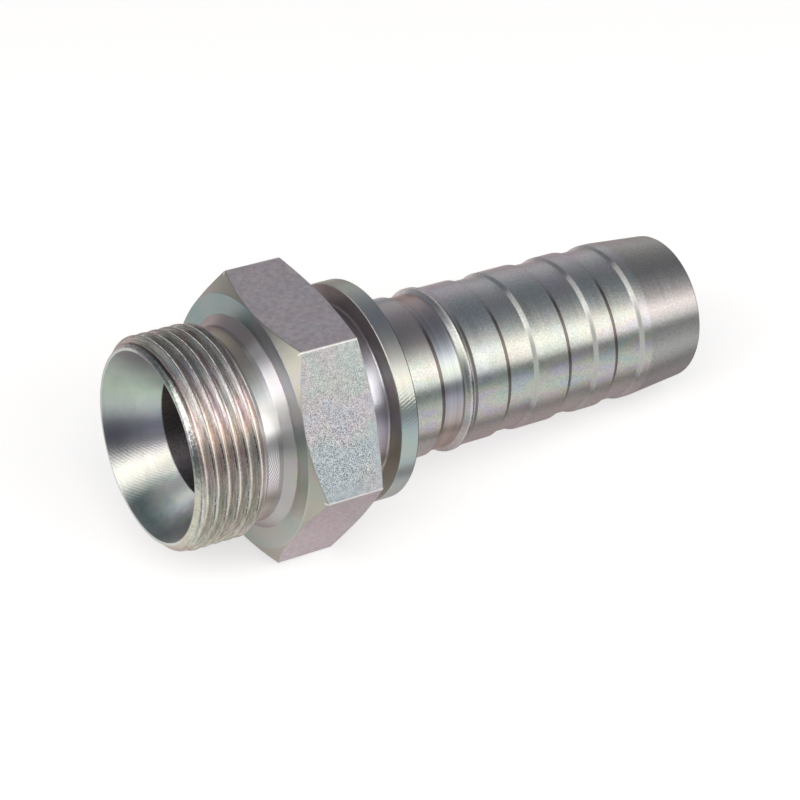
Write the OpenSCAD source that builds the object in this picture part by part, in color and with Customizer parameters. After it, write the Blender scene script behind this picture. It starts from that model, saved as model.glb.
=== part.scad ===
// Hose insert for a large hydraulic hose, turned from hexagon bar in one piece: a male
// pipe thread with a cone seat, the hexagon, the groove and collar that hold the crimped
// ferrule, and the grooved tail that goes into the hose.
// The outline is drawn along the axis, from the mouth at 0 towards the tail end, and the
// insert is then laid down as it comes to rest, on a hexagon flat and its tail end.

/* [Threaded end] */
// Outside diameter of the pipe thread
thread_d = 41.91; // [41:0.01:44]
// Distance from one thread crest to the next
thread_pitch = 2.309; // [1.8:0.001:2.5]
// Angle between the two flanks of the thread groove
thread_angle = 55; // [50:1:60]
// Where on the circle the thread starts, seen from the mouth
thread_start = 295; // [0:5:355]
// Length from the mouth to the end of full thread
thread_len = 13.4; // [9:0.1:18]
// How far the relief behind the thread lies below the thread's root
relief_drop = 0.3; // [0.1:0.05:0.8]
// Length from the end of full thread to the shoulder face
relief_len = 6.9; // [5:0.1:10]
// Slope of the lead chamfer and of the two walls of the relief
bevel_angle = 45; // [30:1:60]
// How far the lead chamfer starts below the thread's root, at the mouth
lead_drop = 0.58; // [0.2:0.02:2]

/* [Cone seat and bore] */
// Width of the flat rim between the lead chamfer and the cone seat
mouth_rim = 0.35; // [0.1:0.05:1]
// Angle across the cone seat
seat_angle = 60; // [50:1:90]
// Diameter of the bore
bore_d = 25.4; // [20:0.1:27]
// Chamfer where the bore opens at the tail end
bore_chamfer = 0.5; // [0.2:0.05:0.8]

/* [Hexagon] */
// Width across the flats
hex_af = 50; // [46:0.5:60]
// Length of the hexagon along the axis
hex_len = 15.2; // [10:0.1:25]
// Diameter of the two flat end faces, inside the corner chamfers
hex_face_d = 49.8; // [44:0.1:49.8]
// Slope of the corner chamfer on the thread side
hex_front_angle = 30; // [15:1:35]
// Slope of the corner chamfer on the hose side
hex_rear_angle = 15; // [5:1:30]

/* [Ferrule seat] */
// Diameter of the groove that the ferrule is crimped into
ferrule_groove_d = 35.8; // [34:0.1:39]
// Length of that groove
ferrule_groove_len = 7; // [4:0.1:12]
// Diameter of the collar behind the groove
collar_d = 44; // [41:0.1:46]
// Length of the collar
collar_len = 3.9; // [2:0.1:8]
// Fillet in the two corners of the ferrule groove
groove_fillet = 0.5; // [0.2:0.05:1]
// Chamfer on the two edges of the collar
collar_chamfer = 0.2; // [0.1:0.05:0.5]

/* [Hose tail] */
// Diameter of the plain lands that the hose grips
tail_d = 32.26; // [30:0.02:33.5]
// Length of the plain land behind the collar
stub_len = 9.4; // [4:0.1:16]
// Depth of the grooves in the tail
groove_depth = 0.57; // [0.3:0.01:1]
// Floor length of the first groove, which ends at the ring
ring_groove_len = 5.25; // [2:0.05:10]
// How far the sharp ring stands above the lands
ring_rise = 0.52; // [0.2:0.02:1]
// Length of the ring's crest
ring_crest_len = 0.5; // [0.2:0.05:1.5]
// Length of the slope from the crest down to the land behind it
ring_back_len = 1.25; // [0.6:0.05:3]
// Length of the land behind the ring
land_1_len = 7.3; // [3:0.1:14]
// Length of the next land
land_2_len = 7.4; // [3:0.1:14]
// Length of the last short land
land_3_len = 4.3; // [2:0.1:14]
// Length of each plain groove, ramp and all
groove_len = 7.1; // [4:0.1:12]
// Slope of the ramp that leads out of a plain groove
ramp_angle = 30; // [20:1:60]
// Length of the straight start of the nose
nose_straight_len = 1.9; // [0.5:0.1:6]
// Length of the tapered nose, to the tail end
nose_taper_len = 13.2; // [8:0.1:20]
// How far the taper falls below the lands at the tail end
nose_drop = 1.23; // [0.5:0.01:1.6]
// Rounding of the tail end
nose_round = 0.6; // [0.2:0.05:0.8]

/* [Hidden] */
$fn = 96;
// Steps of the swept thread groove in each turn, and points on its rounded root
turn_steps = 36;
root_points = 3;
// Length by which a cut runs past the surface that it opens
past = 0.5;
// Turn that brings a flat of the hexagon to the ground
flat_down = 30;

thread_r = thread_d / 2;
bore_r = bore_d / 2;
hex_flat_r = hex_af / 2;
hex_face_r = hex_face_d / 2;
hex_corner_r = hex_flat_r / cos(30);
ferrule_groove_r = ferrule_groove_d / 2;
collar_r = collar_d / 2;
tail_r = tail_d / 2;
floor_r = tail_r - groove_depth;
ring_r = tail_r + ring_rise;
nose_end_r = tail_r - nose_drop;

// Thread form: a sixth of the sharp triangle is cut off at the crest and rounded at the root
sharp_height = thread_pitch / 2 / tan(thread_angle / 2);
crest_cut = sharp_height / 6;
root_round = crest_cut / (1 / sin(thread_angle / 2) - 1);
thread_depth = sharp_height - 2 * crest_cut;
root_r = thread_r - thread_depth;
relief_r = root_r - relief_drop;
mouth_r = root_r - lead_drop;
seat_r = mouth_r - mouth_rim;

// Lengths along the axis of the sloping stretches
lead_len = (thread_r - mouth_r) / tan(bevel_angle);
relief_slope_len = (thread_r - relief_r) / tan(bevel_angle);
seat_depth = (seat_r - bore_r) / tan(seat_angle / 2);
ramp_len = groove_depth / tan(ramp_angle);
taper_angle = atan(nose_drop / nose_taper_len);

// Stations along the axis, each counted from the one before it
shoulder = thread_len + relief_len;
hex_end = shoulder + hex_len;
collar_start = hex_end + ferrule_groove_len;
collar_end = collar_start + collar_len;
stub_end = collar_end + stub_len;
ring_foot = stub_end + ring_groove_len;
ring_front = ring_foot + ring_r - floor_r;
ring_back = ring_front + ring_crest_len;
land_1_start = ring_back + ring_back_len;
land_1_end = land_1_start + land_1_len;
land_2_start = land_1_end + groove_len;
land_2_end = land_2_start + land_2_len;
land_3_start = land_2_end + groove_len;
land_3_end = land_3_start + land_3_len;
nose_start = land_3_end + groove_len;
taper_start = nose_start + nose_straight_len;
tail_end = taper_start + nose_taper_len;

// Centre of the rounding at the tail end, which touches the taper and the end face
round_z = tail_end - nose_round;
round_r = nose_end_r - nose_round * (1 - sin(taper_angle)) / cos(taper_angle);

// At rest the rear edge of a hexagon flat carries the insert, which dips until the first
// edge behind it reaches the ground: the tail end, or a collar or ring that stands higher
flat_end = hex_end - (hex_flat_r - hex_face_r) * tan(hex_rear_angle);
function dip_at(edge_r, edge_z) = atan((hex_flat_r - edge_r) / (edge_z - flat_end));
tail_dip = acos(nose_round / norm([hex_flat_r - round_r, round_z - flat_end]))
    - atan2(round_z - flat_end, hex_flat_r - round_r);
rest_dip = min(tail_dip, dip_at(collar_r, collar_end), dip_at(ring_r, ring_back),
    dip_at(tail_r, taper_start));
rest_height = hex_flat_r * cos(rest_dip) + flat_end * sin(rest_dip);
// The origin is below the middle of the insert's length as it lies
x_min = -mouth_r * sin(rest_dip);
x_max = round_z * cos(rest_dip) + round_r * sin(rest_dip) + nose_round;

// Fillet in the corner of a cylinder and a wall, with the open side up or down the axis
module corner_fillet(corner_r, corner_z, size, open_up) {
    translate([corner_r, corner_z]) mirror([0, open_up ? 0 : 1]) difference() {
        translate([-past, -past]) square(size + past);
        translate([size, size]) circle(r = size);
    }
}

module turned_outline() {
    polygon([
        // lead chamfer, thread and relief
        [0, 0], [mouth_r, 0], [thread_r, lead_len], [thread_r, thread_len],
        [relief_r, thread_len + relief_slope_len], [relief_r, shoulder - relief_slope_len],
        [thread_r, shoulder],
        // round core of the hexagon, then the ferrule groove and the collar
        [thread_r, hex_end], [ferrule_groove_r, hex_end], [ferrule_groove_r, collar_start],
        [collar_r - collar_chamfer, collar_start], [collar_r, collar_start + collar_chamfer],
        [collar_r, collar_end - collar_chamfer], [collar_r - collar_chamfer, collar_end],
        // stub, first groove and ring
        [tail_r, collar_end], [tail_r, stub_end], [floor_r, stub_end], [floor_r, ring_foot],
        [ring_r, ring_front], [ring_r, ring_back],
        // lands and plain grooves
        [tail_r, land_1_start], [tail_r, land_1_end],
        [floor_r, land_1_end], [floor_r, land_2_start - ramp_len],
        [tail_r, land_2_start], [tail_r, land_2_end],
        [floor_r, land_2_end], [floor_r, land_3_start - ramp_len],
        [tail_r, land_3_start], [tail_r, land_3_end],
        [floor_r, land_3_end], [floor_r, nose_start - ramp_len],
        // nose, up to its rounding
        [tail_r, nose_start], [tail_r, taper_start],
        [round_r + nose_round * cos(taper_angle), round_z + nose_round * sin(taper_angle)],
        [round_r, round_z], [round_r, tail_end], [0, tail_end],
    ]);
    translate([round_r, round_z]) circle(r = nose_round);
    corner_fillet(ferrule_groove_r, hex_end, groove_fillet, true);
    corner_fillet(ferrule_groove_r, collar_start, groove_fillet, false);
}

// Six-sided bar inside two chamfer cones, which run on past its corners
module hexagon() {
    cone_r = hex_corner_r + past;
    cone_rise = cone_r - hex_face_r;
    intersection() {
        translate([0, 0, shoulder - past]) rotate(flat_down)
            cylinder(r = hex_corner_r, h = hex_len + 2 * past, $fn = 6);
        rotate_extrude() polygon([
            [0, shoulder], [hex_face_r, shoulder],
            [cone_r, shoulder + cone_rise * tan(hex_front_angle)],
            [cone_r, hex_end - cone_rise * tan(hex_rear_angle)],
            [hex_face_r, hex_end], [0, hex_end],
        ]);
    }
}

module passage() {
    rotate_extrude() polygon([
        [0, -past], [seat_r + past * tan(seat_angle / 2), -past], [bore_r, seat_depth],
        [bore_r, tail_end - bore_chamfer], [bore_r + bore_chamfer + past, tail_end + past],
        [0, tail_end + past],
    ]);
}

// Cross-section of the thread groove, as radius and offset along the axis
function groove_section() =
    let (
        flank = thread_angle / 2,
        mouth_half = thread_pitch / 2 - (crest_cut - past) * tan(flank),
        root_centre = root_r + root_round,
        root_sweep = 90 - flank
    )
    concat(
        [[thread_r + past, -mouth_half]],
        [for (k = [0 : root_points - 1])
            let (a = -root_sweep + 2 * root_sweep * k / (root_points - 1))
            [root_centre - root_round * cos(a), root_round * sin(a)]],
        [[thread_r + past, mouth_half]]
    );

// Right-hand groove, swept from one pitch before the mouth to its run-out in the relief
module thread_groove() {
    section = groove_section();
    count = len(section);
    steps = ceil(((thread_len + relief_slope_len) / thread_pitch + 1) * turn_steps);
    points = [
        for (i = [0 : steps], p = section)
            let (turn = i / turn_steps)
            [p[0] * cos(360 * turn), p[0] * sin(360 * turn), p[1] + (turn - 1) * thread_pitch]
    ];
    sides = [
        for (i = [0 : steps - 1], k = [0 : count - 1])
            let (here = i * count + k, beside = i * count + (k + 1) % count)
            [here, here + count, beside + count, beside]
    ];
    first_cap = [for (k = [0 : count - 1]) k];
    last_cap = [for (k = [count - 1 : -1 : 0]) steps * count + k];
    rotate(thread_start) polyhedron(points, concat([first_cap], sides, [last_cap]));
}

module insert_on_axis() {
    difference() {
        union() {
            rotate_extrude() turned_outline();
            hexagon();
        }
        passage();
        thread_groove();
    }
}

module hose_insert() {
    color([0.66, 0.66, 0.63])
        translate([-(x_min + x_max) / 2, 0, rest_height])
        rotate([0, 90 + rest_dip, 0])
        insert_on_axis();
}

hose_insert();
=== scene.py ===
# Looks of the hose insert: one zinc-plated turned piece, built as a grid of rows along the
# axis and columns round it, with a true helical thread, a chamfered hexagon and small
# rounded edges, and lit by three soft lamps above a pale floor.
import math

import bpy
import numpy as np
from mathutils import Matrix, Vector


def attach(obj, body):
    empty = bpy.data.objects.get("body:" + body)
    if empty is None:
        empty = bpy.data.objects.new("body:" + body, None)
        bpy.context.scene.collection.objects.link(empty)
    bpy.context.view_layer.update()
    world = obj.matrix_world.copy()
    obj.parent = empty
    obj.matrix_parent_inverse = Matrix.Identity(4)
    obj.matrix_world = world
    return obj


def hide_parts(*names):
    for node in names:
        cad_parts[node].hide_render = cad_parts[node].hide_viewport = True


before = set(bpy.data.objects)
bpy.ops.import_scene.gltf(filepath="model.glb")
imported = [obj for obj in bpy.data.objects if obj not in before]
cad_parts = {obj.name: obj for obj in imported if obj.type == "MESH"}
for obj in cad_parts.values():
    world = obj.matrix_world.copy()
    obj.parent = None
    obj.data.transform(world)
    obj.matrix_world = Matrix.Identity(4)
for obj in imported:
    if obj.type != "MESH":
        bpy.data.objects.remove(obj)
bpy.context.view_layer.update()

MM = 0.001

# Sizes of the insert in mm, as in the part's source
THREAD_R, PITCH, THREAD_START = 20.955, 2.309, 295.0
FLANK_ANGLE = math.radians(27.5)
SHARP = PITCH / 2 / math.tan(FLANK_ANGLE)
CREST_CUT = SHARP / 6
ROOT_R = THREAD_R - SHARP + 2 * CREST_CUT
RELIEF_R = ROOT_R - 0.3
MOUTH_R = ROOT_R - 0.58
SEAT_R = MOUTH_R - 0.35
BORE_R = 12.7
SEAT_DEPTH = (SEAT_R - BORE_R) / math.tan(math.radians(30))
THREAD_END, SHOULDER, HEX_END = 13.4, 20.3, 35.5
RELIEF_SLOPE = THREAD_R - RELIEF_R
FLAT_R, FACE_R, CORNER_ROUND = 25.0, 24.9, 0.32
TAN_FRONT, TAN_REAR = math.tan(math.radians(30)), math.tan(math.radians(15))
GROOVE_R, COLLAR_R, COLLAR_START, COLLAR_END = 17.9, 22.0, 42.5, 46.4
TAIL_R, FLOOR_R, RING_R = 16.13, 15.56, 16.65
RAMP = (TAIL_R - FLOOR_R) / math.tan(math.radians(30))
STUB_END, RING_FOOT, RING_FRONT, RING_BACK = 55.8, 61.05, 62.14, 62.64
LANDS = [(63.89, 71.19), (78.29, 85.69), (92.79, 97.09), (104.19, 106.09)]
TAIL_END, NOSE_R, NOSE_ROUND = 119.29, 14.90, 0.6

# Place at rest: on the rear edge of a hexagon flat and the tail end
TAPER = math.atan((TAIL_R - NOSE_R) / (TAIL_END - LANDS[-1][1]))
FLAT_END = HEX_END - (FLAT_R - FACE_R) * TAN_REAR
ROUND_Z = TAIL_END - NOSE_ROUND
ROUND_R = NOSE_R - NOSE_ROUND * (1 - math.sin(TAPER)) / math.cos(TAPER)
DIP = (math.acos(NOSE_ROUND / math.hypot(FLAT_R - ROUND_R, ROUND_Z - FLAT_END))
       - math.atan2(ROUND_Z - FLAT_END, FLAT_R - ROUND_R))
REST_HEIGHT = FLAT_R * math.cos(DIP) + FLAT_END * math.sin(DIP)
X_MIN = -MOUTH_R * math.sin(DIP)
X_MAX = ROUND_Z * math.cos(DIP) + ROUND_R * math.sin(DIP) + NOSE_ROUND
MOUTH = (-(X_MIN + X_MAX) / 2 * MM, 0, REST_HEIGHT * MM)
AXIS = (math.cos(DIP), 0, -math.sin(DIP))
LAY_DOWN = (Matrix.Translation(MOUTH)
            @ Matrix.Rotation(math.pi / 2 + DIP, 4, "Y") @ Matrix.Scale(MM, 4))


# Shape of the insert, as rows along the axis and columns round it

def columns():
    """Angles of the columns: even steps, and closer ones round each corner of the hexagon."""
    even = np.arange(0, 360, 1.5)
    close = [30 + 60 * k + d for k in range(6) for d in (-0.36, -0.18, 0.18, 0.36)]
    return np.radians(np.unique(np.round(np.concatenate([even, close]), 4)))


ANGLE = columns()
N = len(ANGLE)


def hexagon_radius():
    """Radius of the six-sided bar at each column, with its long corners rounded."""
    off = (ANGLE + math.pi / 6) % (math.pi / 3) - math.pi / 6
    flat = FLAT_R / np.cos(off)
    centre = (FLAT_R - CORNER_ROUND) / math.cos(math.pi / 6)
    along = centre * np.cos(math.pi / 6 - np.abs(off))
    under_root = along * along - centre * centre + CORNER_ROUND * CORNER_ROUND
    corner = along + np.sqrt(np.maximum(under_root, 0))
    touch = math.atan((FLAT_R - CORNER_ROUND) * math.tan(math.pi / 6) / FLAT_R)
    return np.where(np.abs(off) > touch, corner, flat)


HEX_R = hexagon_radius()


def thread_radius(z, angle):
    """Thread form at a station: straight flanks with a rounded root and crest."""
    root_at = PITCH * (np.degrees(angle) - THREAD_START) / 360
    from_root = np.abs((z - root_at + PITCH / 2) % PITCH - PITCH / 2)
    from_crest = PITCH / 2 - from_root
    rounding = CREST_CUT / (1 / math.sin(FLANK_ANGLE) - 1)
    touch = rounding * math.cos(FLANK_ANGLE)
    flank = ROOT_R - CREST_CUT + from_root / math.tan(FLANK_ANGLE)
    root = ROOT_R + rounding - np.sqrt(np.maximum(rounding ** 2 - from_root ** 2, 0))
    crest = THREAD_R - rounding + np.sqrt(np.maximum(rounding ** 2 - from_crest ** 2, 0))
    return np.where(from_root < touch, root, np.where(from_crest < touch, crest, flank))


def soft_min(a, b, width):
    """The smaller of two radii, with their corner rounded over a width."""
    share = np.clip(0.5 + 0.5 * (b - a) / width, 0, 1)
    return b * (1 - share) + a * share - width * share * (1 - share)


def soft_step(t):
    """Rise from 0 to 1 with no corner at either end."""
    return t ** 3 * (6 * t * t - 15 * t + 10)


def threaded_rows():
    """Rows through the lead chamfer, the thread and its run-out in the relief."""
    first, last, count = 0.10, THREAD_END + RELIEF_SLOPE - 0.12, 190
    corner = 0.06
    rows = []
    for station in np.linspace(first, last, count):
        r = thread_radius(station, ANGLE)
        r = soft_min(r, np.full(N, MOUTH_R + station), corner)
        r = soft_min(r, np.full(N, THREAD_R - (station - THREAD_END)), corner)
        rows.append((np.full(N, station), np.maximum(r, RELIEF_R)))
    return rows


def turned(points):
    """Rows of an outline with rounded corners. Each point is station, radius and rounding;
    a station or radius may differ from column to column. Corners get four rows or more."""
    Z = np.array([np.broadcast_to(p[0], N) for p in points], float)
    R = np.array([np.broadcast_to(p[1], N) for p in points], float)
    rows = []
    for i, p in enumerate(points):
        if i in (0, len(points) - 1) or p[2] == 0:
            rows.append((Z[i], R[i]))
            continue
        before = np.stack([Z[i] - Z[i - 1], R[i] - R[i - 1]])
        after = np.stack([Z[i + 1] - Z[i], R[i + 1] - R[i]])
        length_before, length_after = np.hypot(*before), np.hypot(*after)
        before, after = before / length_before, after / length_after
        bend = np.arccos(np.clip((before * after).sum(0), -1, 1))
        side = np.sign(before[0] * after[1] - before[1] * after[0])
        room = 0.45 * np.minimum(length_before, length_after)
        reach = np.minimum(p[2] * np.tan(bend / 2), room)
        radius = reach / np.tan(bend / 2)
        start = np.stack([Z[i], R[i]]) - before * reach
        inwards = np.stack([-before[1], before[0]]) * side
        centre = start + inwards * radius
        steps = p[3] if len(p) > 3 else 3
        for k in range(steps + 1):
            a = bend * k / steps
            rows.append(tuple(centre + radius * (-inwards * np.cos(a) + before * np.sin(a))))
    return rows


def outline_rows():
    """Every row from the end of the thread's run-out round the tail end, back through the
    passage to the mouth, and over the lead chamfer and the thread."""
    run_out = THREAD_END + RELIEF_SLOPE
    front = SHOULDER + (HEX_R - FACE_R) * TAN_FRONT
    rear = HEX_END - (HEX_R - FACE_R) * TAN_REAR
    points = [
        (run_out - 0.08, RELIEF_R + 0.08, 0), (run_out, RELIEF_R, 0.25),
        (SHOULDER - RELIEF_SLOPE, RELIEF_R, 0.3), (SHOULDER, THREAD_R, 0.06),
        (SHOULDER, FACE_R, 0.10), (front, HEX_R, 0.22),
        (rear, HEX_R, 0.22), (HEX_END, FACE_R, 0.12),
        (HEX_END, GROOVE_R, 0.5, 4), (COLLAR_START, GROOVE_R, 0.5, 4),
        (COLLAR_START, COLLAR_R, 0.22, 4), (COLLAR_END, COLLAR_R, 0.22, 4),
        (COLLAR_END, TAIL_R, 0.18), (STUB_END, TAIL_R, 0.07), (STUB_END, FLOOR_R, 0.12),
        (RING_FOOT, FLOOR_R, 0.15), (RING_FRONT, RING_R, 0.06), (RING_BACK, RING_R, 0.15),
        (LANDS[0][0], TAIL_R, 0.25),
    ]
    for (_, end), (start, _) in zip(LANDS[:-1], LANDS[1:]):
        points += [(end, TAIL_R, 0.07), (end, FLOOR_R, 0.12)]
        points += [(start - RAMP * (1 - t), FLOOR_R + (TAIL_R - FLOOR_R) * soft_step(t), 0)
                   for t in np.linspace(0, 1, 11)]
    points += [
        (LANDS[-1][1], TAIL_R, 0.8), (TAIL_END, NOSE_R, NOSE_ROUND, 6),
        (TAIL_END, BORE_R + 0.5, 0.1), (TAIL_END - 0.5, BORE_R, 0.1),
        (SEAT_DEPTH, BORE_R, 0.12), (0, SEAT_R, 0.06), (0, MOUTH_R, 0.08),
        (0.06, MOUTH_R + 0.06, 0),
    ]
    return turned(points) + threaded_rows()


def insert_mesh():
    """The closed grid as a mesh, laid down at rest, with its own normals and with the flats
    marked for the second material."""
    rows = outline_rows()
    Z, R = np.array([r[0] for r in rows]), np.array([r[1] for r in rows])
    co = np.stack([R * np.cos(ANGLE), R * np.sin(ANGLE), Z], -1).reshape(-1, 3)
    i, j = np.meshgrid(np.arange(len(rows)), np.arange(N), indexing="ij")
    i2, j2 = (i + 1) % len(rows), (j + 1) % N
    quads = np.stack([i * N + j, i * N + j2, i2 * N + j2, i2 * N + j], -1).reshape(-1, 4)
    mesh = bpy.data.meshes.new("hose_insert_dressed")
    mesh.from_pydata(co.tolist(), [], quads.tolist())
    mesh.validate()
    # each vertex leans towards its largest faces, so the flats stay flat up to their edges
    a, b, c, d = (co[quads[:, k]] for k in range(4))
    face = np.cross(c - a, d - b)
    normal = np.zeros_like(co)
    for k in range(4):
        np.add.at(normal, quads[:, k], face)
    normal /= np.maximum(np.linalg.norm(normal, axis=1, keepdims=True), 1e-12)
    mesh.polygons.foreach_set("use_smooth", np.ones(len(mesh.polygons), bool))
    rotation = np.array(LAY_DOWN.to_3x3().normalized())
    normal = normal @ rotation.T
    # flats of the bar stock keep their own finish
    flat = np.zeros(len(quads), np.int32)
    facing = np.abs(face / np.linalg.norm(face, axis=1, keepdims=True))
    on = facing @ np.array([0, 0, 1.0]) < 0.02
    mid = co[quads].mean(1)
    on &= (mid[:, 2] > SHOULDER + 0.3) & (mid[:, 2] < HEX_END - 0.2)
    on &= np.hypot(mid[:, 0], mid[:, 1]) > FACE_R
    flat[on] = 1
    mesh.polygons.foreach_set("material_index", flat)
    mesh.transform(LAY_DOWN)
    mesh.normals_split_custom_set_from_vertices(normal.tolist())
    return mesh


# Materials

class Graph:
    """Short hand for a material's nodes."""

    def __init__(self, name):
        self.mat = bpy.data.materials.new(name)
        self.mat.use_nodes = True
        self.nodes, self.links = self.mat.node_tree.nodes, self.mat.node_tree.links
        self.bsdf = self.nodes["Principled BSDF"]

    def put(self, socket, value):
        """Link a node's output to a socket, or set the socket to a plain value."""
        if isinstance(value, bpy.types.NodeSocket):
            self.links.new(value, socket)
        else:
            socket.default_value = value

    def math(self, operation, *values):
        node = self.nodes.new("ShaderNodeMath")
        node.operation = operation
        for socket, value in zip(node.inputs, values):
            self.put(socket, value)
        return node.outputs[0]

    def times(self, first, *others):
        for other in others:
            first = self.math("MULTIPLY", first, other)
        return first

    def most(self, first, *others):
        for other in others:
            first = self.math("MAXIMUM", first, other)
        return first

    def plus(self, a, b):
        return self.math("ADD", a, b)

    def xyz(self, vector):
        node = self.nodes.new("ShaderNodeSeparateXYZ")
        self.put(node.inputs[0], vector)
        return node.outputs

    def vector(self, x, y, z):
        node = self.nodes.new("ShaderNodeCombineXYZ")
        for socket, value in zip(node.inputs, (x, y, z)):
            self.put(socket, value)
        return node.outputs[0]

    def noise(self, vector, scale, detail, rough, distortion=0.0):
        node = self.nodes.new("ShaderNodeTexNoise")
        self.put(node.inputs["Vector"], vector)
        node.inputs["Scale"].default_value = scale
        node.inputs["Detail"].default_value = detail
        node.inputs["Roughness"].default_value = rough
        node.inputs["Distortion"].default_value = distortion
        return node.outputs["Fac"]

    def ramp(self, value, stops):
        """Colour ramp, with each stop as position and colour."""
        node = self.nodes.new("ShaderNodeValToRGB")
        self.put(node.inputs[0], value)
        elements = node.color_ramp.elements
        while len(elements) < len(stops):
            elements.new(0.5)
        for element, (position, colour) in zip(elements, stops):
            element.position = position
            element.color = (*colour, 1)
        return node.outputs["Color"]

    def greys(self, value, stops):
        """Grey ramp, with each stop as position and level."""
        return self.ramp(value, [(position, (level, level, level)) for position, level in stops])

    def mix(self, share, a, b, blend="MIX"):
        node = self.nodes.new("ShaderNodeMix")
        node.data_type, node.blend_type = "RGBA", blend
        self.put(node.inputs[0], share)
        self.put(node.inputs[6], a if not isinstance(a, tuple) else (*a, 1))
        self.put(node.inputs[7], b if not isinstance(b, tuple) else (*b, 1))
        return node.outputs[2]

    def tinted(self, colour, other):
        """The product of two colours."""
        return self.mix(1.0, colour, other, "MULTIPLY")

    def span(self, value, a, b, c=0.0, d=1.0):
        """Straight change from c at a to d at b, and level outside."""
        node = self.nodes.new("ShaderNodeMapRange")
        for socket, number in zip(node.inputs, (value, a, b, c, d)):
            self.put(socket, number)
        return node.outputs[0]

    def band(self, value, a, b, soft):
        """One between a and b, with soft edges outside."""
        return self.times(self.span(value, a - soft, a), self.span(value, b, b + soft, 1.0, 0.0))

    def corner_wear_and_highlight(self, turn):
        """One along the six long corners of the hexagon, where the plating is rubbed pale and the edge is
        painted as a highlight.
        """
        side = self.math("FRACT", self.times(turn, 6.0))
        way = self.math("ABSOLUTE", self.math("SUBTRACT", side, 0.5))
        return self.span(way, 0.003, 0.009, 1.0, 0.0)

    def bump(self, height, strength, distance, normal=None):
        node = self.nodes.new("ShaderNodeBump")
        node.inputs["Strength"].default_value = strength
        node.inputs["Distance"].default_value = distance
        self.put(node.inputs["Height"], height)
        if normal is not None:
            self.put(node.inputs["Normal"], normal)
        return node.outputs[0]


def lathe_coordinates(g):
    """Place in the insert's own frame, distance from the axis and station along it, in mm, and
    the turn round the axis, from minus a half to a half."""
    own_frame = g.nodes.new("ShaderNodeMapping")
    own_frame.vector_type = "TEXTURE"
    g.put(own_frame.inputs["Vector"], g.nodes.new("ShaderNodeTexCoord").outputs["Object"])
    own_frame.inputs["Location"].default_value = MOUTH
    own_frame.inputs["Rotation"].default_value = (0, math.pi / 2 + DIP, 0)
    own_frame.inputs["Scale"].default_value = (MM, MM, MM)
    at = own_frame.outputs[0]
    x, y, z = g.xyz(at)
    r = g.math("SQRT", g.plus(g.times(x, x), g.times(y, y)))
    turn = g.math("DIVIDE", g.math("ARCTAN2", y, x), 2 * math.pi)
    return at, r, z, turn


def round_the_axis(g):
    """Direction of the turning marks."""
    arm = g.nodes.new("ShaderNodeVectorMath")
    arm.operation = "SUBTRACT"
    g.put(arm.inputs[0], g.nodes.new("ShaderNodeTexCoord").outputs["Object"])
    arm.inputs[1].default_value = MOUTH
    across = g.nodes.new("ShaderNodeVectorMath")
    across.operation = "CROSS_PRODUCT"
    across.inputs[0].default_value = AXIS
    g.put(across.inputs[1], arm.outputs[0])
    unit = g.nodes.new("ShaderNodeVectorMath")
    unit.operation = "NORMALIZE"
    g.put(unit.inputs[0], across.outputs[0])
    return unit.outputs[0]


EDGE_TINT = (0.80, 0.67, 0.68, 1)

# Regions of the turned surface along the axis, in mm: from, to and the soft edge outside
LEAD = (-0.1, 1.45, 0.1)
THREADED = (1.0, 13.6, 0.5)
NECK = (14.0, 17.5, 0.1)
CHATTER = (14.8, 17.2, 0.3)
REAR_WALL = (17.6, 20.1, 0.1)
SHOULDER_FACE = (20.2, 20.45, 0.05)
FRONT_CHAMFER = (20.45, 22.8, 0.1)
FERRULE_GROOVE = (35.4, 42.3, 0.1)
COLLAR_FRONT = (42.2, 42.6, 0.1)
COLLAR_RIM = (42.5, 46.5, 0.1)
STUB = (46.8, STUB_END, 0.2)
FIRST_GROOVE = (STUB_END + 0.3, RING_FOOT - 0.1, 0.3)
SCORED_FLOOR = (STUB_END + 0.3, RING_FOOT - 0.2, 0.3)
PASSAGE = (SEAT_DEPTH - 0.1, TAIL_END - 0.4, 0.2)

# Interference colours of the clear passivation, pale all over and vivid along the near side, where their
# strength is partly painted light
FILM = [
    (0.00, (0.41, 0.44, 0.49)), (0.16, (0.40, 0.46, 0.46)), (0.32, (0.43, 0.48, 0.44)),
    (0.46, (0.47, 0.48, 0.43)), (0.58, (0.47, 0.46, 0.45)), (0.70, (0.50, 0.44, 0.45)),
    (0.84, (0.48, 0.44, 0.49)), (1.00, (0.43, 0.43, 0.49)),
]
VIVID_FILM = [
    (0.00, (0.42, 0.43, 0.56)), (0.20, (0.37, 0.48, 0.50)), (0.40, (0.41, 0.51, 0.40)),
    (0.55, (0.52, 0.51, 0.37)), (0.75, (0.53, 0.43, 0.46)), (1.00, (0.45, 0.41, 0.57)),
]
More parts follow.
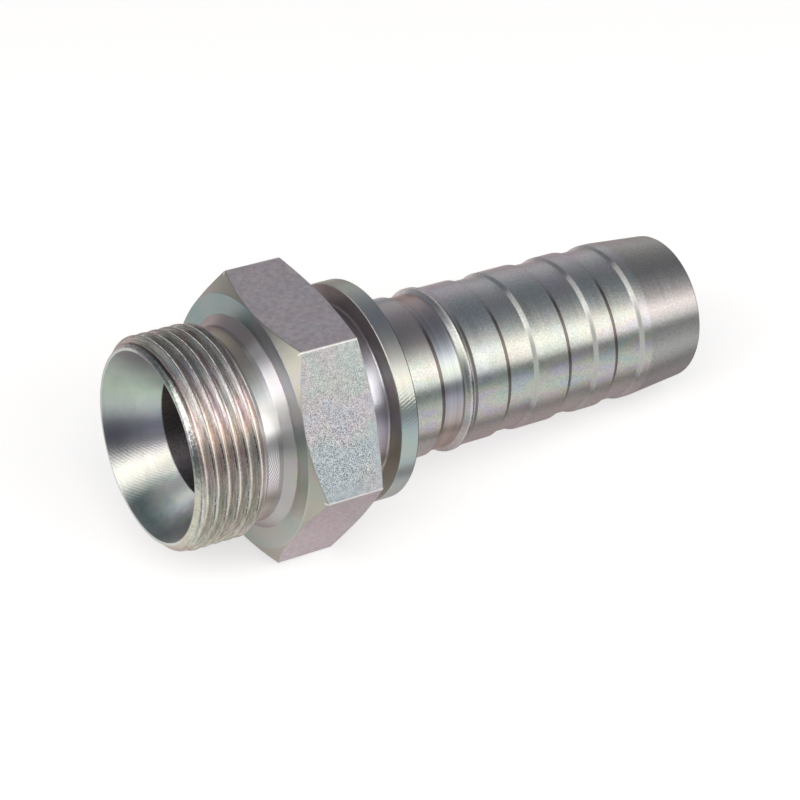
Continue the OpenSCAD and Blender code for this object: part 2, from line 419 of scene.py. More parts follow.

# Tones and gains of each region round the axis, with a stop where a band visibly changes, set by comparing
# with the photo.
# Besides the film's colour they hold painted highlights and painted shade, the light reflected round the
# axis.
# Place 0 is underneath, 0.25 the far side, 0.5 the top, 0.75 the near side.
TAIL_TINT_AND_LIGHT = [
    (0.45, (0.45, 0.45, 0.45)), (0.56, (0.40, 0.45, 0.50)), (0.64, (0.50, 0.50, 0.45)),
    (0.69, (0.40, 0.45, 0.45)), (0.74, (0.55, 0.60, 0.60)), (0.77, (0.50, 0.45, 0.45)),
]
TAIL_LIGHT_GAIN = [(0.42, 0.75), (0.54, 0.50), (0.78, 0.50), (0.84, 0.65)]
GROOVE_TINT_AND_LIGHT = [
    (0.45, (0.50, 0.40, 0.35)), (0.55, (0.35, 0.35, 0.40)), (0.61, (0.40, 0.45, 0.50)),
    (0.65, (0.45, 0.50, 0.45)), (0.70, (0.40, 0.40, 0.50)), (0.78, (0.55, 0.45, 0.40)),
]
NECK_TINT_AND_LIGHT = [
    (0.50, (0.70, 0.60, 0.50)), (0.60, (0.40, 0.45, 0.45)), (0.63, (0.45, 0.45, 0.45)),
    (0.66, (0.90, 0.90, 0.90)), (0.74, (0.85, 0.80, 0.85)), (0.78, (0.50, 0.45, 0.40)),
]
REAR_WALL_TINT_AND_LIGHT = [
    (0.51, (0.50, 0.45, 0.45)), (0.53, (0.80, 0.80, 0.80)), (0.56, (0.50, 0.50, 0.55)),
    (0.63, (0.50, 0.50, 0.50)), (0.66, (0.95, 0.95, 0.95)), (0.69, (0.50, 0.50, 0.50)),
]
SHOULDER_TINT_AND_LIGHT = [
    (0.47, (0.30, 0.40, 0.40)), (0.57, (0.50, 0.55, 0.60)), (0.65, (0.45, 0.50, 0.50)),
    (0.73, (0.45, 0.50, 0.45)), (0.80, (0.50, 0.55, 0.50)),
]
COLLAR_FRONT_TINT_AND_LIGHT = [
    (0.43, (0.25, 0.20, 0.20)), (0.52, (0.60, 0.55, 0.60)), (0.60, (0.15, 0.15, 0.15)),
    (0.67, (0.45, 0.40, 0.40)), (0.71, (0.35, 0.30, 0.25)), (0.77, (0.60, 0.55, 0.45)),
]
FERRULE_GROOVE_TINT_AND_LIGHT = [
    (0.50, (0.40, 0.35, 0.35)), (0.60, (0.50, 0.50, 0.55)), (0.67, (0.70, 0.70, 0.80)),
    (0.72, (0.65, 0.60, 0.75)), (0.78, (0.45, 0.40, 0.40)),
]
COLLAR_RIM_TINT_AND_LIGHT = [
    (0.46, (0.50, 0.55, 0.45)), (0.54, (0.35, 0.40, 0.45)), (0.60, (0.35, 0.35, 0.35)),
    (0.64, (0.45, 0.45, 0.40)), (0.70, (0.40, 0.50, 0.50)), (0.80, (0.45, 0.50, 0.50)),
]
LEAD_TINT_AND_LIGHT = [
    (0.44, (0.45, 0.45, 0.45)), (0.50, (0.25, 0.30, 0.30)), (0.57, (0.50, 0.55, 0.50)),
    (0.64, (0.55, 0.55, 0.55)), (0.67, (0.20, 0.25, 0.25)), (0.73, (0.60, 0.60, 0.50)),
]
NOSE_TINT_AND_LIGHT = [
    (0.42, (0.60, 0.60, 0.55)), (0.50, (0.45, 0.45, 0.40)), (0.56, (0.35, 0.35, 0.35)),
    (0.64, (0.55, 0.50, 0.50)), (0.67, (0.40, 0.40, 0.40)),
]
THREAD_TINT_AND_LIGHT = [
    (0.46, (0.45, 0.45, 0.40)), (0.55, (0.45, 0.45, 0.50)), (0.63, (0.55, 0.45, 0.45)),
    (0.72, (0.45, 0.45, 0.45)), (0.80, (0.45, 0.50, 0.45)),
]
FLANK_LIGHT_GAIN = [(0.45, 1.1), (0.50, 1.9), (0.57, 1.1), (0.65, 1.6), (0.72, 1.2)]
CREST_LIGHT_GAIN = [(0.45, 0.9), (0.51, 0.6), (0.57, 1.0), (0.65, 0.9), (0.68, 0.6), (0.76, 1.1)]
ROOT_LIGHT_GAIN = [(0.45, 1.2), (0.60, 1.1), (0.70, 1.9), (0.80, 1.1)]
PASSAGE_SHADE_TONES = [(0.05, (0.14, 0.13, 0.15)), (0.25, (0.12, 0.105, 0.095)), (0.45, (0.13, 0.12, 0.115))]

# Tones and gains of the cone seat, with painted highlight and shade in fans, from 0 a tenth of a turn before
# underneath, over the far side, to 1 at the top
SEAT_TINT_AND_LIGHT = [
    (0.20, (0.40, 0.45, 0.45)), (0.34, (0.50, 0.50, 0.45)), (0.46, (0.40, 0.40, 0.50)),
    (0.60, (0.45, 0.55, 0.45)), (0.85, (0.45, 0.45, 0.50)),
]
SEAT_INNER_HIGHLIGHT_FANS = [(0.20, 1.7), (0.31, 0.8), (0.44, 1.5), (0.52, 1.1), (0.80, 1.7)]
SEAT_OUTER_HIGHLIGHT_FANS = [(0.20, 1.2), (0.28, 0.8), (0.35, 1.0), (0.45, 0.5), (0.55, 1.0)]

# Tones across one turn of the thread, from root to root, with painted shade behind the crests and painted
# highlights on the roots: on the top and on the near side
THREAD_LIGHT_ON_TOP = [
    (0.00, (0.95, 0.91, 0.88)), (0.10, (1.10, 1.06, 1.02)), (0.22, (1.08, 1.07, 1.04)),
    (0.44, (0.98, 1.00, 1.01)), (0.57, (1.00, 1.02, 1.03)), (0.61, (0.22, 0.20, 0.19)),
    (0.82, (0.24, 0.22, 0.21)), (0.92, (0.80, 0.76, 0.73)), (1.00, (0.95, 0.91, 0.88)),
]
THREAD_LIGHT_NEAR_SIDE = [
    (0.00, (1.40, 1.35, 1.28)), (0.09, (1.25, 1.18, 1.12)), (0.17, (0.88, 0.83, 0.79)),
    (0.40, (0.78, 0.75, 0.73)), (0.52, (0.74, 0.73, 0.71)), (0.58, (1.05, 1.04, 0.98)),
    (1.00, (1.40, 1.35, 1.28)),
]
# Interference colours on the thread
THREAD_FILM = [
    (0.10, (0.40, 0.47, 0.47)), (0.35, (0.44, 0.46, 0.40)), (0.55, (0.47, 0.44, 0.41)),
    (0.75, (0.50, 0.41, 0.41)), (0.95, (0.46, 0.43, 0.49)),
]


class TurnedGraph(Graph):
    """The insert's own coordinates, the noises that its regions share, and the regions."""

    def __init__(self, name):
        super().__init__(name)
        self.at, self.r, self.z, self.turn = lathe_coordinates(self)
        self.x, self.y, _ = self.xyz(self.at)
        self.place = self.math("FRACT", self.turn)
        z, r, turn = self.z, self.r, self.turn
        self.patch = self.noise(self.vector(self.x, self.y, self.times(z, 0.7)), 0.10, 1.5, 0.5, 0.5)
        self.grain = self.noise(self.at, 2.6, 3.0, 0.65)
        self.speck = self.noise(self.at, 4.5, 1.0, 0.6)
        self.mottle = self.noise(self.at, 1.6, 2.0, 0.6)
        self.marks = self.noise(
            self.vector(self.times(r, 2.2), self.times(z, 2.2), self.times(turn, 2.0)), 1.0, 3.0, 0.6)
        self.tear = self.noise(
            self.vector(self.times(turn, 200.0), self.times(z, 2.0), 0.0), 1.0, 3.0, 0.7)
        ridge = self.math("SUBTRACT", z, self.times(turn, PITCH))
        self.drawn = self.noise(
            self.vector(self.times(turn, 34.0), self.times(ridge, 7.0), 0.0), 1.0, 2.0, 0.65)
        self.fleck = self.tinted(self.greys(self.grain, [(0.3, 0.82), (0.7, 1.14)]),
                                 self.greys(self.speck, [(0.36, 0.92), (0.64, 1.08)]))
        self.lead = self.times(self.band(z, *LEAD), self.span(r, 18.55, 18.65))
        self.threaded = self.times(self.band(z, *THREADED), self.span(r, 19.0, 19.3))
        self.rear_wall = self.band(z, *REAR_WALL)
        self.chamfer = self.times(self.band(z, *FRONT_CHAMFER), self.span(r, FACE_R, FLAT_R))
        self.seat = self.times(self.span(z, SEAT_DEPTH, SEAT_DEPTH - 0.2), self.span(r, 18.6, 18.5))
        self.passage = self.times(self.span(r, 12.95, 12.75), self.band(z, *PASSAGE))
        self.rim = self.span(r, 21.7, 21.85)
        # the far side, where the thread is kept calm
        self.far = self.most(self.span(self.place, 0.79, 0.83, 0.0, 0.65),
                             self.span(self.place, 0.36, 0.42, 0.65, 0.0))

    def paint(self, colour, region, amount, other):
        """Lay another colour over a region."""
        return self.mix(self.times(region, amount), colour, other)


def film_and_tail(g):
    """Film all over, then the tail, its first groove and its stub, with highlights and shade painted round
    the axis on the tail and in the groove.
    """
    place, z = g.place, g.z
    streak = g.noise(g.vector(g.times(g.turn, 11.0), g.times(z, 0.05), g.times(g.r, 0.9)), 1.0, 1.5, 0.5)
    film = g.span(g.plus(g.times(g.patch, 0.55), g.times(streak, 0.45)), 0.36, 0.64)
    shift = g.noise(g.vector(g.times(g.turn, 34.0), g.times(z, 0.10), 3.0), 1.0, 1.0, 0.5)
    vivid = g.span(g.plus(g.times(g.patch, 0.3), g.times(shift, 0.7)), 0.36, 0.64)
    # stronger film colours along the near side: the film's own colour, made stronger there as painted light
    strong = g.most(g.band(place, 0.685, 0.762, 0.012), g.times(g.band(place, 0.60, 0.80, 0.03), 0.45))
    colour = g.mix(strong, g.ramp(film, FILM), g.ramp(vivid, VIVID_FILM))
    colour = g.tinted(colour, g.fleck)
    colour = g.tinted(colour, g.ramp(g.marks, [(0.3, (0.90, 0.90, 0.90)), (0.7, (1.08, 1.08, 1.07))]))
    scored = g.ramp(g.marks, [(0.34, (0.80, 0.80, 0.82)), (0.5, (1.0, 1.0, 1.0)), (0.66, (1.12, 1.12, 1.13))])
    colour = g.mix(g.band(z, *SCORED_FLOOR), colour, g.tinted(colour, scored))
    # painted highlights and shade round the tail
    tail = g.tinted(g.ramp(place, TAIL_TINT_AND_LIGHT), g.fleck)
    colour = g.paint(colour, g.span(z, 46.0, 46.6), g.span(strong, 0.0, 1.0, 0.60, 0.55), tail)
    # painted light: collar and tail brightened on the far side, underneath and low on the near side
    painted_lift = g.tinted(g.greys(place, TAIL_LIGHT_GAIN), (2.0, 2.0, 2.0))
    colour = g.mix(g.span(z, 42.0, 42.6), colour, g.tinted(colour, painted_lift))
    # painted highlights and shade round the first groove, over its scored marks
    floor_tones = g.tinted(scored, g.ramp(place, GROOVE_TINT_AND_LIGHT))
    colour = g.paint(colour, g.band(z, *FIRST_GROOVE), 0.85, floor_tones)
    # the top of the stub painted in darker teal and brown tints
    stub = g.times(g.band(z, *STUB), g.band(place, 0.44, 0.585, 0.02))
    return g.paint(colour, stub, 0.5, g.ramp(g.patch, [
        (0.40, (0.34, 0.41, 0.39)), (0.50, (0.42, 0.40, 0.37)), (0.60, (0.44, 0.38, 0.37))]))


def chatter_arcs(g):
    """Arcs left by the chatter of the tool on the neck, about a centre above them and nearer
    the mouth."""
    # the centre as turn and station, then the stretch round the axis and the spacing in mm
    centre_turn, centre_z, stretch, spacing = -0.3183, 14.3, 49.5, 0.34
    reach = g.times(g.plus(g.turn, -centre_turn), stretch)
    along = g.math("SUBTRACT", g.z, centre_z)
    away = g.math("SQRT", g.plus(g.times(reach, reach), g.times(along, along)))
    wave = g.math("SINE", g.times(away, 2 * math.pi / spacing))
    where = g.times(g.band(g.z, *CHATTER), g.band(g.turn, -0.302, -0.256, 0.008))
    return g.mix(where, (1.0, 1.0, 1.0), g.greys(g.span(wave, -1.0, 1.0), [(0.1, 0.66), (0.9, 1.30)]))


def front_to_collar(g, colour):
    """Neck, relief wall, shoulder, chamfer, ferrule groove, collar and lead chamfer, with highlights and
    shade painted round the axis on all but the chamfer.
    """
    place, z = g.place, g.z
    # painted highlights and shade round the axis, region by region
    colour = g.paint(colour, g.band(z, *NECK), 0.85, g.ramp(place, NECK_TINT_AND_LIGHT))
    colour = g.tinted(colour, chatter_arcs(g))
    colour = g.paint(colour, g.rear_wall, 0.85, g.ramp(place, REAR_WALL_TINT_AND_LIGHT))
    face = g.times(g.band(z, *SHOULDER_FACE), g.span(g.r, 20.9, 21.0))
    clouds = g.ramp(g.patch, [(0.36, (0.90, 0.98, 0.98)), (0.64, (1.10, 1.02, 1.02))])
    colour = g.paint(colour, face, 0.8, g.tinted(g.ramp(place, SHOULDER_TINT_AND_LIGHT), clouds))
    colour = g.paint(colour, g.chamfer, 0.75, (0.58, 0.57, 0.50))
    collar_front = g.times(g.band(z, *COLLAR_FRONT), g.span(g.r, 21.9, 21.8))
    colour = g.paint(colour, collar_front, 0.75, g.ramp(place, COLLAR_FRONT_TINT_AND_LIGHT))
    hollow = g.times(g.band(z, *FERRULE_GROOVE), g.span(g.r, 19.0, 18.6))
    colour = g.paint(colour, hollow, 0.9, g.ramp(place, FERRULE_GROOVE_TINT_AND_LIGHT))
    collar_rim = g.times(g.band(z, *COLLAR_RIM), g.rim)
    colour = g.paint(colour, collar_rim, 0.8, g.ramp(place, COLLAR_RIM_TINT_AND_LIGHT))
    mottled = g.ramp(g.mottle, [(0.38, (0.72, 0.75, 0.76)), (0.62, (1.26, 1.24, 1.22))])
    lead = g.mix(g.span(place, 0.71, 0.74, 1.0, 0.5), g.ramp(place, LEAD_TINT_AND_LIGHT), mottled, "MULTIPLY")
    return g.paint(colour, g.lead, 0.9, lead)


def seat_tones(g):
    """The cone seat: broad pale and dark fans of painted highlight and shade, painted light near the bore low
    down, and blots.
    """
    about = g.span(g.turn, -0.1, 0.5)
    fans = g.mix(g.span(g.r, 13.4, 17.2), g.greys(about, SEAT_INNER_HIGHLIGHT_FANS), g.greys(about, SEAT_OUTER_HIGHLIGHT_FANS))
    tones = g.tinted(g.ramp(about, SEAT_TINT_AND_LIGHT), fans)
    low = g.band(g.turn, -0.080, 0.045, 0.03)
    light_outwards = g.ramp(g.span(g.r, 13.2, 17.6), [
        (0.0, (1.95, 1.90, 1.85)), (0.45, (1.25, 1.25, 1.22)), (1.0, (0.62, 0.68, 0.68))])
    tones = g.tinted(tones, g.mix(low, (1.0, 1.0, 1.0), light_outwards))
    blots = g.ramp(g.noise(g.vector(g.x, g.y, g.z), 0.30, 2.0, 0.5), [
        (0.36, (0.74, 0.84, 0.90)), (0.45, (0.93, 1.03, 0.93)),
        (0.53, (1.03, 0.97, 1.09)), (0.64, (1.18, 1.15, 1.08))])
    return g.mix(g.span(low, 0.0, 1.0, 0.3, 1.0), tones, g.tinted(tones, blots))


def thread_phase(g):
    """Place across one turn of the thread, from root to root, with a ragged edge."""
    started = g.math("SUBTRACT", g.turn, THREAD_START / 360)
    phase = g.math("FRACT", g.math("SUBTRACT", g.math("DIVIDE", g.z, PITCH), started))
    return g.plus(phase, g.span(g.tear, 0.3, 0.7, -0.016, 0.016))


def thread_tones(g, phase):
    """The thread: painted shade on the flank behind each crest on the top, painted highlights on the roots on
    the near side, painted light gains round the axis, and grain drawn out round the axis."""
    place = g.place
    form = g.mix(g.span(place, 0.598, 0.643), g.ramp(phase, THREAD_LIGHT_ON_TOP), g.ramp(phase, THREAD_LIGHT_NEAR_SIDE))
    form = g.mix(g.far, form, (0.98, 0.95, 0.90))
    light_gain = g.mix(g.band(phase, 0.44, 0.90, 0.05), g.greys(place, FLANK_LIGHT_GAIN), g.greys(place, CREST_LIGHT_GAIN))
    in_root = g.most(g.span(phase, 0.91, 0.97), g.span(phase, 0.03, 0.12, 1.0, 0.0))
    form = g.tinted(form, g.mix(in_root, light_gain, g.greys(place, ROOT_LIGHT_GAIN)))
    form = g.tinted(form, g.ramp(g.speck, [
        (0.36, (0.84, 0.83, 0.82)), (0.50, (1.0, 1.0, 1.0)), (0.64, (1.15, 1.15, 1.16))]))
    form = g.tinted(form, g.ramp(g.drawn, [
        (0.36, (0.70, 0.71, 0.70)), (0.50, (1.0, 1.0, 1.0)), (0.64, (1.30, 1.30, 1.31))]))
    bloom = g.noise(g.vector(g.times(g.turn, 14.0), g.times(g.z, 0.9), 0.0), 1.0, 1.0, 0.5)
    bloom = g.mix(0.5, g.ramp(g.span(bloom, 0.34, 0.66), THREAD_FILM), g.ramp(place, THREAD_TINT_AND_LIGHT))
    return g.tinted(bloom, form)


def painted_dark_crests(g, phase):
    """Painted shade: dark, ragged strips along the crests, in two stretches round the axis."""
    where = g.most(g.band(g.place, 0.657, 0.695, 0.010),
                   g.times(g.band(g.place, 0.737, 0.778, 0.010), 0.9))
    painted_shade_strip = g.times(g.band(phase, 0.41, 0.56, 0.04), where)
    return g.times(painted_shade_strip, g.threaded, g.span(g.tear, 0.42, 0.50))


def torn_edge_highlights(g, phase):
    """Torn edges behind the crests, pale and painted as highlights, and painted highlights on the roots on
    the near side.
    """
    from_middle = g.math("ABSOLUTE", g.math("SUBTRACT", phase, 0.47))
    pale = g.times(g.span(from_middle, 0.41, 0.45), g.band(g.place, 0.632, 0.80, 0.02))
    pale = g.times(pale, g.threaded, g.span(g.tear, 0.30, 0.50, 0.35, 0.8))
    torn = g.times(g.band(phase, 0.495, 0.585, 0.015),
                   g.times(g.threaded, g.span(g.tear, 0.40, 0.50, 0.25, 1.0)))
    ragged = g.most(g.span(g.place, 0.58, 0.66, 1.0, 0.30),
                    g.times(g.band(g.place, 0.737, 0.778, 0.010), 0.8))
    return g.most(g.times(torn, ragged, g.span(g.far, 0.0, 0.65, 1.0, 0.4)), pale)


def edge_wear_and_highlights(g, jag):
    """Pale edges: the hexagon's long corners, rubbed and painted as edge highlights, and painted highlights
    on the collar's front rim, the grip ring's edge and the far lip of the mouth, which is given once more by
    itself because it is greener."""
    wear_and_highlight = g.times(g.corner_wear_and_highlight(g.turn), g.span(g.r, 27.8, 28.2))
    near_rim = g.span(g.band(g.place, 0.48, 0.60, 0.03), 0.0, 1.0, 0.15, 0.8)
    collar_edge = g.times(g.band(g.z, COLLAR_START - 0.1, COLLAR_START + 0.08, 0.04),
                          g.times(g.rim, near_rim))
    lip_side = g.span(g.band(g.place, 0.455, 0.835, 0.03), 0.0, 1.0, 0.75, 0.0)
    far_lip = g.times(g.band(g.z, -0.1, 0.06, 0.03), g.span(g.r, 18.4, 18.6), lip_side)
    ring_edge = g.times(g.band(jag, RING_FRONT - 0.16, RING_FRONT - 0.03, 0.05),
                        g.span(g.tear, 0.38, 0.55, 0.30, 0.65))
    return g.most(wear_and_highlight, collar_edge, far_lip, ring_edge), far_lip


def painted_corner_shade(g, jag, outside):
    """Painted shade: dark lines in the sharp corners of the tail, the ring and the collar, faint away from
    the upper near side."""
    steps = [STUB_END] + [end for _, end in LANDS[:3]]
    corner = g.most(*[g.band(g.z, station - 0.22, station + 0.75, 0.12) for station in steps])
    corner = g.most(corner, g.times(g.band(jag, RING_FRONT + 0.18, RING_FRONT + 0.42, 0.08), 0.9))
    behind_collar = g.band(g.z, COLLAR_END - 0.22, COLLAR_END + 0.1, 0.06)
    corner = g.most(corner, g.times(behind_collar, g.span(g.r, 21.5, 21.7)))
    for station, half in ((RING_FOOT - 0.1, 0.3), (RING_BACK + 0.75, 0.6)):
        way = g.math("ABSOLUTE", g.math("SUBTRACT", g.z, station))
        corner = g.most(corner, g.span(way, half * 0.4, half, 0.75, 0.0))
    near_side = g.times(g.span(g.turn, -0.465, -0.425), g.span(g.turn, -0.25, -0.20, 1.0, 0.0))
    return g.times(corner, outside, g.span(near_side, 0.0, 1.0, 0.12, 1.0))


def painted_ramp_light(g, outside):
    """The slopes of the ring and the ramps, painted pale as a highlight in their upper stretch and a lit grey
    in their lower stretch.
    """
    slope = g.times(g.band(g.z, RING_FOOT + 0.15, RING_FRONT - 0.2, 0.1),
                    g.span(g.marks, 0.40, 0.60, 0.0, 0.8))
    for start, _ in LANDS[1:]:
        slope = g.most(slope, g.band(g.z, start - RAMP + 0.20, start - 0.15, 0.20))
    slope = g.times(slope, outside)
    upper = g.times(slope, g.band(g.turn, -0.470, -0.405, 0.02))
    lower = g.times(slope, g.band(g.turn, -0.385, -0.235, 0.02))
    return upper, lower


def turning_relief(g):
    """Bump of the turned surface: chatter on seat, thread and collar, rough metal on thread and
    lead chamfer, then fine marks and grain."""
    # waves in one full turn, on seat and thread and on the collar
    full_turn, seat_waves, collar_waves = 2 * math.pi, 120, 190
    wave = g.math("SINE", g.plus(g.times(g.turn, full_turn * seat_waves), g.times(g.z, 9.0)))
    amount = g.most(g.times(g.seat, 0.10), g.times(g.threaded, 0.12))
    ripple = g.math("SINE", g.plus(g.times(g.turn, full_turn * collar_waves), g.times(g.z, 4.0)))
    two_stretches = g.most(g.band(g.place, 0.645, 0.71, 0.015),
                           g.times(g.band(g.place, 0.765, 0.80, 0.01), 0.6))
    rippled = g.times(g.band(g.z, COLLAR_START + 0.3, COLLAR_END - 0.3, 0.2), two_stretches)
    height = g.plus(g.times(wave, amount), g.times(ripple, rippled, 0.16))
    height = g.plus(height, g.times(g.mottle, g.lead, g.span(g.place, 0.71, 0.74, 3.0, 1.4)))
    height = g.plus(height, g.times(g.plus(g.tear, g.drawn), g.times(g.threaded, 0.9)))
    normal = g.bump(height, 1.0, 0.00003)
    fine = g.noise(g.vector(g.times(g.r, 4.0), g.times(g.z, 4.0), g.times(g.turn, 30.0)), 1.0, 2.0, 0.6)
    return g.bump(g.plus(fine, g.times(g.grain, 0.6)), 0.4, 0.00003, normal)


def turned_zinc():
    """Zinc plating over turned steel: marks round the axis, the colours of its passivation, the crests and
    roots of the thread, highlights and shade painted round the axis, and painted shade in sharp corners."""
    g = TurnedGraph("turned_zinc")
    phase = thread_phase(g)
    jag = g.plus(g.z, g.span(g.tear, 0.3, 0.7, -0.09, 0.09))
    outside = g.span(g.r, 14.0, 14.4)
    colour = front_to_collar(g, film_and_tail(g))
    colour = g.paint(colour, g.seat, 0.85, seat_tones(g))
    # painted highlights and shade round the nose
    nose = g.tinted(g.fleck, g.ramp(g.place, NOSE_TINT_AND_LIGHT))
    colour = g.paint(colour, g.span(g.z, 105.9, 106.3), 0.8, nose)
    colour = g.mix(g.threaded, colour, thread_tones(g, phase))
    # painted shade: dark strips along the crests
    colour = g.paint(colour, painted_dark_crests(g, phase), 0.85, (0.07, 0.08, 0.08))
    wear_and_highlight, far_lip = edge_wear_and_highlights(g, jag)
    # torn crest edges painted as highlights, and painted highlights on the roots
    wear_and_highlight = g.most(wear_and_highlight, torn_edge_highlights(g, phase))
    # pale edges: wear on the hexagon's corners, and painted highlights on all of them, the far lip of the
    # mouth greener
    colour = g.mix(wear_and_highlight, colour, g.mix(far_lip, (0.84, 0.82, 0.77), (0.64, 0.76, 0.70)))
    # painted shade in the sharp corners
    colour = g.paint(colour, painted_corner_shade(g, jag, outside), 0.88, (0.11, 0.085, 0.075))
    upper, lower = painted_ramp_light(g, outside)
    # painted highlight on the upper stretch of the slopes, and painted light on the lower
    colour = g.paint(colour, upper, 0.8, g.tinted(g.fleck, (0.64, 0.65, 0.63)))
    colour = g.paint(colour, lower, 0.8, (0.44, 0.46, 0.44))
    passage_shade_grain = g.ramp(g.grain, [(0.35, (0.75, 0.75, 0.75)), (0.65, (1.4, 1.4, 1.4))])
    # painted shade inside the passage, with grain
    colour = g.mix(g.passage, colour, g.tinted(g.ramp(g.place, PASSAGE_SHADE_TONES), passage_shade_grain))
    g.put(g.bsdf.inputs["Base Color"], colour)
    less_metal = g.most(g.times(wear_and_highlight, 0.70), g.times(upper, 0.3), g.times(lower, 0.75))
    g.put(g.bsdf.inputs["Metallic"], g.math("SUBTRACT", 1.0, less_metal))
    dull = g.most(upper, g.chamfer, g.passage, g.times(g.threaded, 0.2))
    rough = g.plus(g.span(g.marks, 0.3, 0.7, 0.32, 0.42), g.times(dull, 0.20))
    rough = g.math("SUBTRACT", rough, g.times(g.lead, 0.08))
    g.put(g.bsdf.inputs["Roughness"], g.plus(rough, g.times(g.rear_wall, 0.04)))
    g.bsdf.inputs["Anisotropic"].default_value = 0.85
    g.bsdf.inputs["Anisotropic Rotation"].default_value = 0.25
    g.put(g.bsdf.inputs["Tangent"], round_the_axis(g))
    g.bsdf.inputs["Specular Tint"].default_value = EDGE_TINT
    g.put(g.bsdf.inputs["Normal"], turning_relief(g))
    return g.mat


def bar_zinc():
    """Zinc plating over the rolled flats of the bar: satin, with a fine sparkling grain, and one flat painted
    darker as shade, the others lighter.
    """
    g = Graph("bar_zinc")
    at, _, z, turn = lathe_coordinates(g)
    soft = g.noise(at, 0.09, 3.0, 0.55, 0.5)
    tint = g.ramp(g.span(soft, 0.36, 0.64), [
        (0.10, (0.42, 0.46, 0.47)), (0.35, (0.45, 0.47, 0.46)), (0.55, (0.47, 0.46, 0.46)),
        (0.75, (0.49, 0.45, 0.47)), (0.95, (0.45, 0.45, 0.49)),
    ])
    # one flat is coarser and cooler than the others, and painted darker as shade; the other flats are painted
    # lighter
    coarse_shaded_flat = g.band(turn, -0.4165, -0.2505, 0.0005)
    tint = g.mix(g.math("SUBTRACT", 0.6, g.times(coarse_shaded_flat, 0.6)), tint, (0.50, 0.445, 0.47))
    tint = g.tinted(tint, g.mix(coarse_shaded_flat, (1.12, 1.12, 1.12), (0.83, 0.865, 0.86)))
    tint = g.mix(g.times(coarse_shaded_flat, g.span(turn, -0.37, -0.29)), tint, g.tinted(tint, (1.0, 0.99, 1.04)))
    cloud = g.noise(at, 1.1, 3.0, 0.6)
    tint = g.tinted(tint, g.ramp(cloud, [(0.36, (0.88, 0.88, 0.89)), (0.64, (1.12, 1.12, 1.11))]))
    grain = g.noise(at, 5.0, 0.5, 0.5)
    speckle = g.ramp(grain, [
        (0.34, (0.44, 0.44, 0.46)), (0.50, (1.02, 1.02, 1.02)), (0.66, (1.44, 1.44, 1.43))])
    rear_margin = g.times(g.span(z, 32.4, 34.2), g.span(turn, -0.37, -0.33))
    margin = g.most(rear_margin, g.span(turn, -0.268, -0.258))
    sparkle = g.times(g.span(turn, -0.41, -0.31, 0.55, 1.0), g.span(margin, 0.0, 1.0, 1.0, 0.45))
    colour = g.mix(g.times(coarse_shaded_flat, sparkle), tint, g.tinted(tint, speckle))
    # pale long corners of the hexagon: wear and a painted edge highlight
    wear_and_highlight = g.corner_wear_and_highlight(turn)
    colour = g.mix(wear_and_highlight, colour, (0.74, 0.73, 0.71))
    g.put(g.bsdf.inputs["Base Color"], colour)
    g.put(g.bsdf.inputs["Metallic"], g.math("SUBTRACT", 1.0, g.times(wear_and_highlight, 0.55)))
    g.put(g.bsdf.inputs["Roughness"], g.span(grain, 0.35, 0.65, 0.40, 0.56))
    g.bsdf.inputs["Specular Tint"].default_value = EDGE_TINT
    g.put(g.bsdf.inputs["Normal"], g.bump(grain, 0.5, 0.00005))
    return g.mat


insert = bpy.data.objects.new("hose_insert_dressed", insert_mesh())
bpy.context.scene.collection.objects.link(insert)
insert.data.materials.append(turned_zinc())
insert.data.materials.append(bar_zinc())
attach(insert, "root")
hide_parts("hose_insert")


# Floor, light and camera

def pale_floor():
    """White floor that keeps the shadow. The metal sees it fall off with distance and past the
    tail end, and dimmer in two strips in front of the tail: a painted falloff and painted shadows, seen only
    in the metal."""
    g = Graph("pale_floor")
    g.bsdf.inputs["Roughness"].default_value = 0.9
    g.bsdf.inputs["Specular IOR Level"].default_value = 0.0
    x, y, _ = g.xyz(g.nodes.new("ShaderNodeNewGeometry").outputs["Position"])
    edge = g.span(x, -0.012, 0.008, 0.008, 0.0)
    painted_shade_strip = g.times(g.band(g.plus(y, edge), -0.0275, -0.0215, 0.0035), g.span(x, -0.052, -0.044))
    shade_beside = g.times(g.band(y, -0.0215, -0.006, 0.004), g.span(x, -0.016, 0.002))
    away = g.math("SQRT", g.plus(g.times(x, x), g.times(y, y)))
    fall = g.times(g.span(away, 0.06, 0.5, 1.0, 0.55), g.span(x, 0.082, 0.096, 1.0, 0.72))
    # painted shadows: two strips in front of the tail, dimmer as the metal sees them
    painted_shadow = g.math("MINIMUM", g.span(painted_shade_strip, 0.0, 1.0, 1.0, 0.38), g.span(shade_beside, 0.0, 1.0, 1.0, 0.60))
    metal_sees = g.times(fall, painted_shadow)
    path = g.nodes.new("ShaderNodeLightPath").outputs
    share = g.span(path["Is Glossy Ray"], 0.0, 1.0, 1.0, metal_sees)
    g.put(g.bsdf.inputs["Base Color"], g.mix(share, (0.0, 0.0, 0.0), (0.5, 0.5, 0.5)))
    seen = g.most(path["Is Camera Ray"], path["Is Glossy Ray"], path["Is Transmission Ray"])
    glow = g.span(path["Is Camera Ray"], 0.0, 1.0, 0.5, 0.58)
    g.put(g.bsdf.inputs["Emission Color"], (1, 1, 1, 1))
    g.put(g.bsdf.inputs["Emission Strength"], g.times(seen, share, glow))
    return g.mat


bpy.ops.mesh.primitive_plane_add(size=8, location=(0, 0, -0.0002))
floor = bpy.context.object
floor.name = "floor"
floor.data.materials.append(pale_floor())


LAMP_COLOUR, WATTS_PER_AREA = (1.0, 0.965, 0.92), 9.1
# The lamps lie in one plane that faces the insert: its centre, and its direction across
LAMP_CENTRE, LAMP_ACROSS = Vector((-0.135, -0.435, 0.51)), Vector((2.31, -0.93, -0.29))


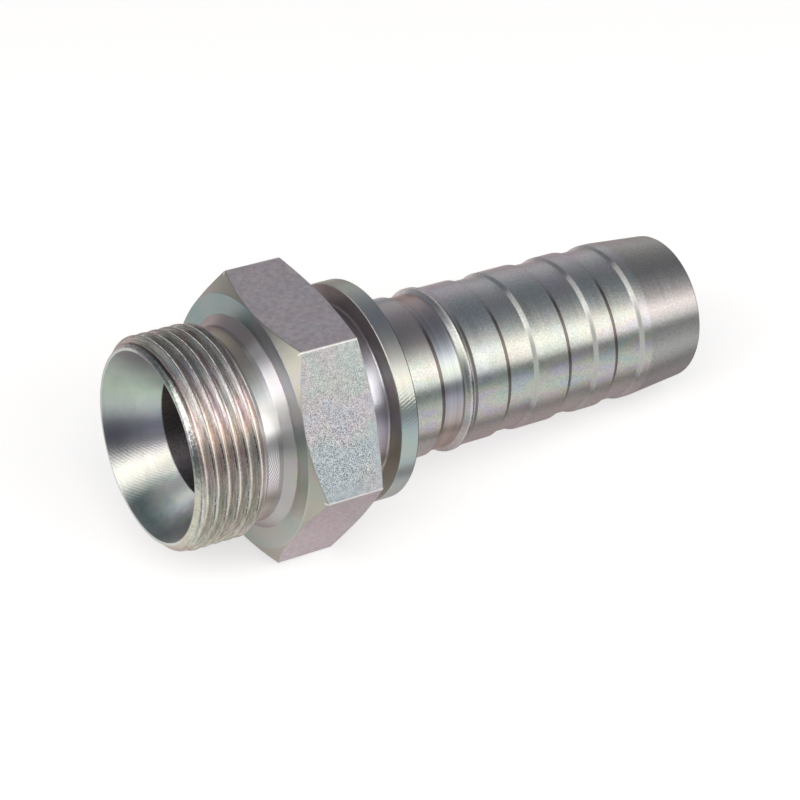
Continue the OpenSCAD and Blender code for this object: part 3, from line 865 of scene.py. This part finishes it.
def soft_lamp(name, across, up, wide, high, lean=0.0):
    """Rectangular lamp in the lamps' plane: place in it, size and lean."""
    data = bpy.data.lights.new(name, "AREA")
    data.shape, data.size, data.size_y = "RECTANGLE", wide, high
    data.energy = WATTS_PER_AREA * wide * high
    data.color = LAMP_COLOUR
    lamp = bpy.data.objects.new(name, data)
    z = LAMP_CENTRE.normalized()
    x = (LAMP_ACROSS - LAMP_ACROSS.dot(z) * z).normalized()
    plane = Matrix((x, z.cross(x), z)).transposed().to_4x4()
    in_plane = Matrix.Translation((across, up, 0)) @ Matrix.Rotation(lean, 4, "Z")
    lamp.matrix_world = Matrix.Translation(LAMP_CENTRE) @ plane @ in_plane
    bpy.context.scene.collection.objects.link(lamp)


soft_lamp("long_lamp", 0.86, -0.025, 1.12, 0.53, math.radians(-3))
soft_lamp("middle_lamp", -0.15, 0.13, 0.92, 0.42, math.radians(-5))
soft_lamp("side_lamp", -0.98, 0.09, 0.76, 0.76)

# A plain room that brightens towards one wall: the direction of the wall, and how bright the
# room is for the cosine of the angle to it
WALL_DIRECTION = Vector((0.571, 0.816, 0.087))
WALL_LEVELS = [(0.50, 0.25), (0.72, 0.29), (0.85, 0.40), (0.955, 0.62), (1.0, 0.90)]
world = bpy.data.worlds.new("studio")
bpy.context.scene.world = world
world.use_nodes = True
nodes, links = world.node_tree.nodes, world.node_tree.links
facing = nodes.new("ShaderNodeVectorMath")
facing.operation = "DOT_PRODUCT"
links.new(nodes.new("ShaderNodeTexCoord").outputs["Generated"], facing.inputs[0])
facing.inputs[1].default_value = WALL_DIRECTION
wall = nodes.new("ShaderNodeValToRGB")
while len(wall.color_ramp.elements) < len(WALL_LEVELS):
    wall.color_ramp.elements.new(0.5)
for element, (towards, level) in zip(wall.color_ramp.elements, WALL_LEVELS):
    element.position = towards
    element.color = (level * 0.98, level * 0.985, level * 1.05, 1)
links.new(facing.outputs["Value"], wall.inputs[0])
links.new(wall.outputs[0], nodes["Background"].inputs[0])

# Camera at the photo's viewing angle
CAMERA_PLACE = (-0.2221606, -0.3460054, 0.3609797)
camera_data = bpy.data.cameras.new("camera")
camera_data.lens, camera_data.sensor_width = 121.60, 36.0
camera_data.clip_start = 0.01
camera = bpy.data.objects.new("camera", camera_data)
right = Vector((0.84980987, -0.52697455, 0.01100036))
up = Vector((0.33218298, 0.55165551, 0.76506906))
back = right.cross(up)
turned_to = Matrix((right, up, back)).transposed().to_4x4()
camera.matrix_world = Matrix.Translation(CAMERA_PLACE) @ turned_to
bpy.context.scene.collection.objects.link(camera)
bpy.context.scene.camera = camera
bpy.context.scene.view_settings.view_transform = "Standard"
